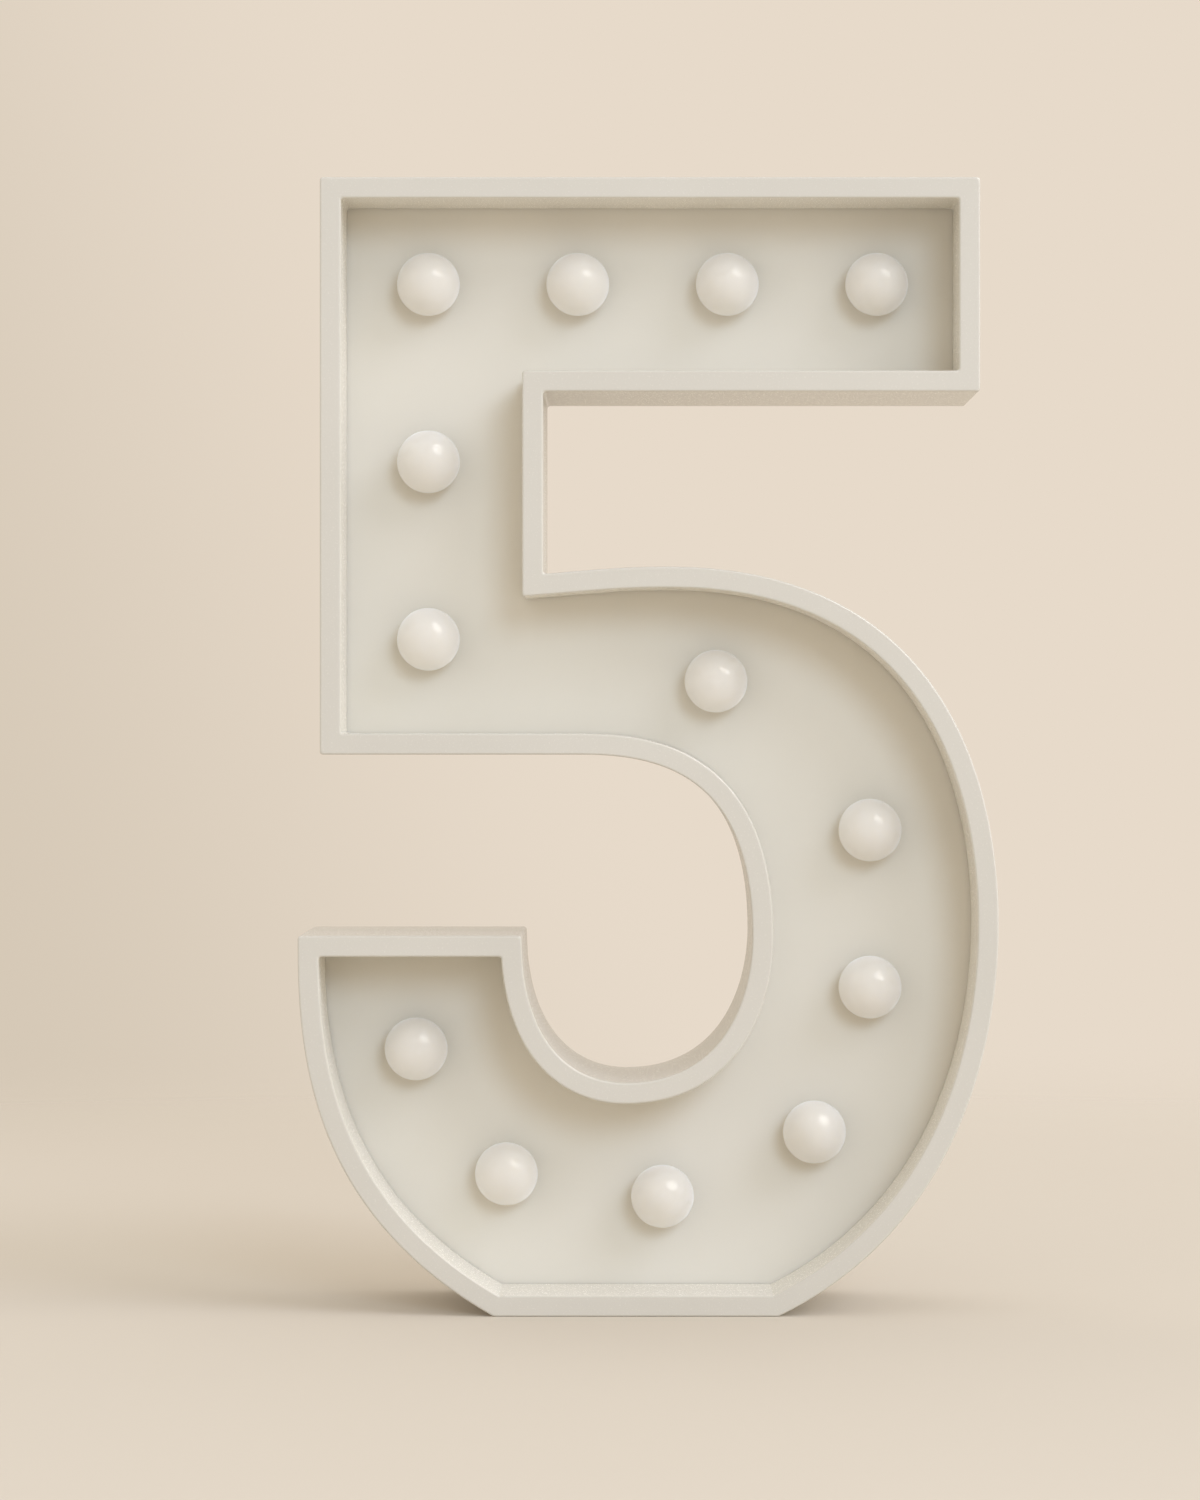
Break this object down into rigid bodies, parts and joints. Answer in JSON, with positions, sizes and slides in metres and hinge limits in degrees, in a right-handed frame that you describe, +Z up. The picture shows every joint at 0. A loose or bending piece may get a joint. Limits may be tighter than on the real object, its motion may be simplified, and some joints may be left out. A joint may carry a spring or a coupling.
{
  "type": "light up marquee number",
  "caption": "Free standing hollow numeral five with a rimmed, recessed face, globe lamps along its stroke, a rear battery door and a slide switch.",
  "frame": {"origin": "on the table, under the middle of the numeral's width and depth", "axes": "+X to the numeral's right as read, +Y towards its back, +Z up; the face looks along -Y"},
  "size_m": [0.1354, 0.044, 0.22],
  "materials": {
    "shell": "moulded warm white, fine matte",
    "panel": "moulded warm white, matte",
    "cover": "moulded warm white, matte",
    "globe": "milky white, soft gloss",
    "diode": "clear epoxy with a warm tint",
    "screw": "zinc plated",
    "cell": "plain grey sleeve over a metal can",
    "contact": "nickel plated spring steel",
    "knob": "moulded warm white",
    "switch": "black moulding",
    "resistor": "tan lacquer",
    "wire_red": "red insulation",
    "wire_black": "black insulation"
  },
  "bodies": {
    "housing": {"side_frame": "shell", "face_panel": "panel", "rear_cover": "cover", "globe_1": "globe", "globe_2": "globe", "globe_3": "globe", "globe_4": "globe", "globe_5": "globe", "globe_6": "globe", "globe_7": "globe", "globe_8": "globe", "globe_9": "globe", "globe_10": "globe", "globe_11": "globe", "globe_12": "globe", "globe_13": "globe", "diode_1": "diode", "diode_2": "diode", "diode_3": "diode", "diode_4": "diode", "diode_5": "diode", "diode_6": "diode", "diode_7": "diode", "diode_8": "diode", "diode_9": "diode", "diode_10": "diode", "diode_11": "diode", "diode_12": "diode", "diode_13": "diode", "cover_screw_1": "screw", "cover_screw_2": "screw", "cover_screw_3": "screw", "cover_screw_4": "screw", "cover_screw_5": "screw", "cover_screw_6": "screw", "cover_screw_7": "screw", "cover_screw_8": "screw", "cell_right": "cell", "cell_left": "cell", "contact_bridge": "contact", "contact_positive": "contact", "contact_negative": "contact", "switch_body": "switch", "series_resistor": "resistor", "string_wire_positive": "wire_red", "string_wire_negative": "wire_black", "battery_lead_positive": "wire_red", "battery_lead_negative": "wire_black"},
    "battery_door": {"battery_door": "cover"},
    "switch_slider": {"switch_slider": "knob"}
  },
  "joints": [
    {"name": "battery_door_tilt", "type": "hinge", "parent": "housing", "child": "battery_door", "pos_m": [-0.04185, 0.022, 0.1188], "axis": [-1, 0, 0], "range_deg": [0, 60]},
    {"name": "switch_slide", "type": "slide", "parent": "housing", "child": "switch_slider", "axis": [1, 0, 0], "range_m": [0, 0.003]}
  ]
}
